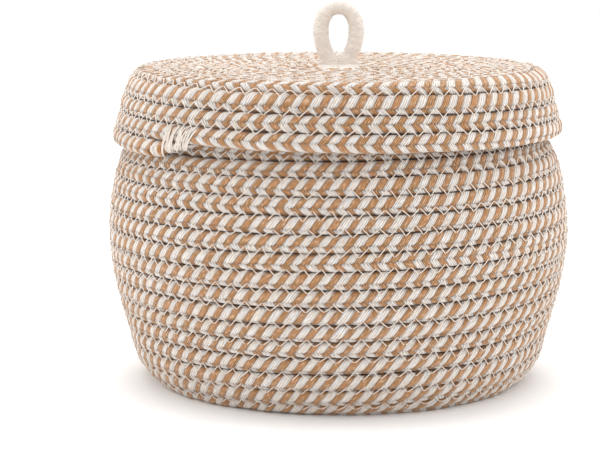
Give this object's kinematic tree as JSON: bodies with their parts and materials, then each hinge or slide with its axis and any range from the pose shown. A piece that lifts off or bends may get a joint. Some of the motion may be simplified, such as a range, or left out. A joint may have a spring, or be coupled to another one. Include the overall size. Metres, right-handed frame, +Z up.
{
  "type": "knitting basket",
  "caption": "Round bellied basket coiled from braided cord, with a lift-off coiled lid and a cotton cord loop to lift it by, for yarn and needlework.",
  "frame": {"origin": "on the floor under the middle of the base", "axes": "+Z up, -Y to the side that the picture shows, +X to its right; the loop stands in the XZ plane"},
  "size_m": [0.2199, 0.2199, 0.1804],
  "materials": {
    "braided_cord": "braided cord of white and tan yarn, matte",
    "cotton_cord": "thick natural cotton cord, soft and matte",
    "binding_thread": "white cotton thread, matte"
  },
  "bodies": {
    "basket": {"base_coil": "braided_cord", "wall_coil": "braided_cord"},
    "lid": {"lid_top_coil": "braided_cord", "lid_skirt_coil": "braided_cord", "lid_cord_tip": "binding_thread", "handle_knot": "cotton_cord"},
    "loop": {"handle_loop": "cotton_cord"}
  },
  "joints": [
    {"name": "lid_lift", "type": "slide", "parent": "basket", "child": "lid", "axis": [0, 0, 1], "range_m": [0, 0.15]},
    {"name": "loop_flop", "type": "hinge", "parent": "lid", "child": "loop", "pos_m": [0, 0, 0.1536], "axis": [1, 0, 0], "range_deg": [-75, 75]}
  ]
}
